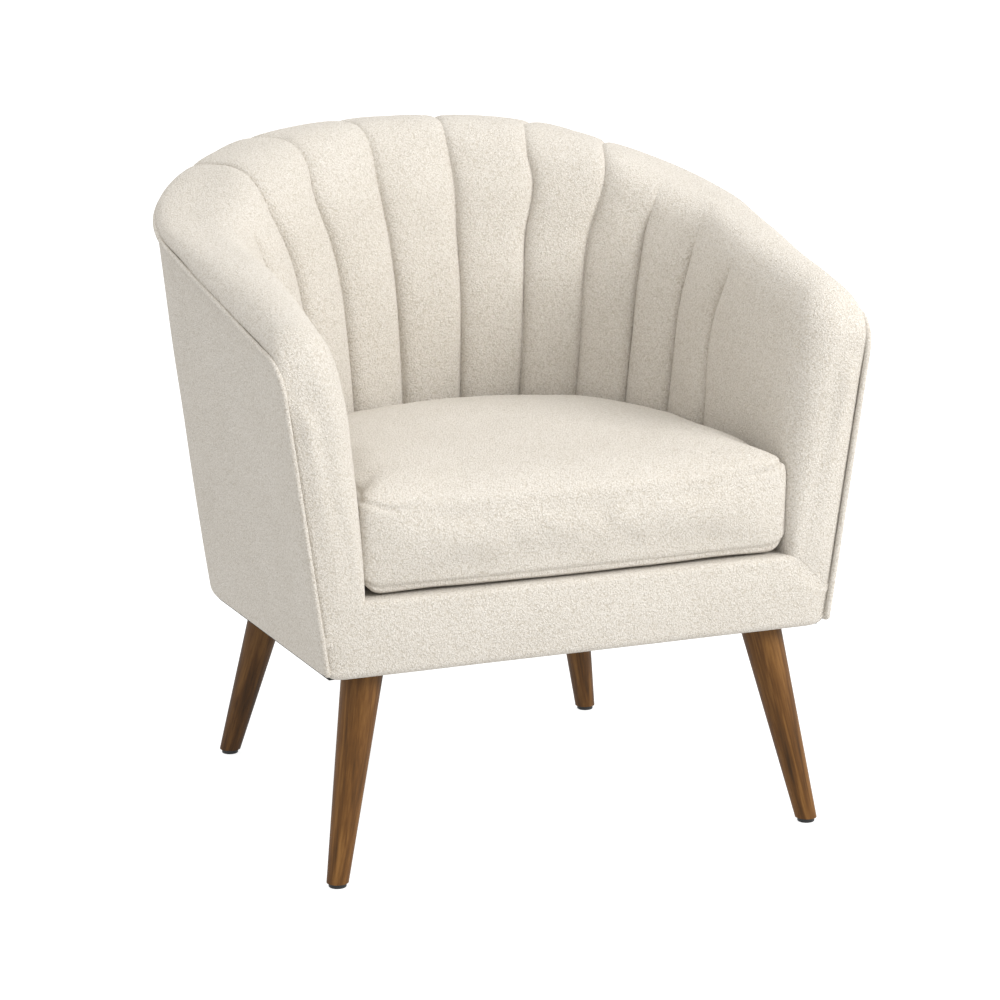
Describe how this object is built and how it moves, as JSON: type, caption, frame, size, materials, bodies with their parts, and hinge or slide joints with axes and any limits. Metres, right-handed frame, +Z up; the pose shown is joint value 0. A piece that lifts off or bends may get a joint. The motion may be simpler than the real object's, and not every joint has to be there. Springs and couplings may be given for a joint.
{
  "type": "upholstered armchair",
  "caption": "Tub armchair with a channel-stitched curved back, loose boxed seat cushion and splayed tapered wooden legs.",
  "frame": {"origin": "on the floor, under the middle of the chair's bounding box", "axes": "+Z up, +Y towards the back of the chair, +X to the right of someone facing its front"},
  "size_m": [0.7616, 0.651, 0.799],
  "materials": {
    "boucle_fabric": "cream wool-blend boucle, short curled pile, matt",
    "leg_wood": "walnut-stained solid wood, satin lacquer",
    "glide_plastic": "moulded black nylon",
    "fixing_steel": "zinc-plated steel",
    "spring_steel": "oil-tempered spring wire",
    "frame_wood": "sawn hardwood and plywood, unfinished",
    "ply_shell": "bent plywood, unfinished",
    "fibreboard": "thin fibreboard",
    "foam": "polyurethane foam",
    "lining_cloth": "black non-woven lining",
    "zip_cloth": "woven zip tape",
    "zip_metal": "plain die-cast zip slider"
  },
  "bodies": {
    "chair": {"arm_pad_left": "boucle_fabric", "arm_pad_right": "boucle_fabric", "arm_post_left": "frame_wood", "arm_post_right": "frame_wood", "back_channel_01": "boucle_fabric", "back_channel_02": "boucle_fabric", "back_channel_03": "boucle_fabric", "back_channel_04": "boucle_fabric", "back_channel_05": "boucle_fabric", "back_channel_06": "boucle_fabric", "back_channel_07": "boucle_fabric", "back_channel_08": "boucle_fabric", "back_channel_09": "boucle_fabric", "back_channel_10": "boucle_fabric", "back_channel_11": "boucle_fabric", "back_post_1": "frame_wood", "back_post_2": "frame_wood", "back_post_3": "frame_wood", "back_post_4": "frame_wood", "back_rail": "frame_wood", "block_screws": "fixing_steel", "corner_block_back_left": "frame_wood", "corner_block_back_right": "frame_wood", "corner_block_front_left": "frame_wood", "corner_block_front_right": "frame_wood", "deck_cloth": "lining_cloth", "deck_pad": "foam", "dust_cover": "lining_cloth", "front_border": "boucle_fabric", "front_rail": "frame_wood", "glide_back_left": "glide_plastic", "glide_back_right": "glide_plastic", "glide_front_left": "glide_plastic", "glide_front_right": "glide_plastic", "hanger_bolts": "fixing_steel", "inner_shell": "ply_shell", "leg_back_left": "leg_wood", "leg_back_right": "leg_wood", "leg_front_left": "leg_wood", "leg_front_right": "leg_wood", "liner_back": "fibreboard", "liner_corner_left": "fibreboard", "liner_corner_right": "fibreboard", "liner_side_left": "fibreboard", "liner_side_right": "fibreboard", "outside_cover": "boucle_fabric", "rim_welt": "boucle_fabric", "side_rail_left": "frame_wood", "side_rail_right": "frame_wood", "sinuous_springs": "spring_steel", "spring_clips": "fixing_steel", "t_nuts": "fixing_steel", "top_rail": "frame_wood"},
    "seat_cushion": {"cushion_cover": "boucle_fabric", "cushion_core": "foam", "zip_tape": "zip_cloth"},
    "zip_slider": {"zip_slider": "zip_metal"}
  },
  "joints": [
    {"name": "cushion_lift", "type": "slide", "parent": "chair", "child": "seat_cushion", "axis": [0, 0, 1], "range_m": [0, 0.35]},
    {"name": "zip_run", "type": "hinge", "parent": "seat_cushion", "child": "zip_slider", "pos_m": [0, -0.17402, 0.3967], "axis": [0, 0, 1], "range_deg": [0, 58]}
  ]
}
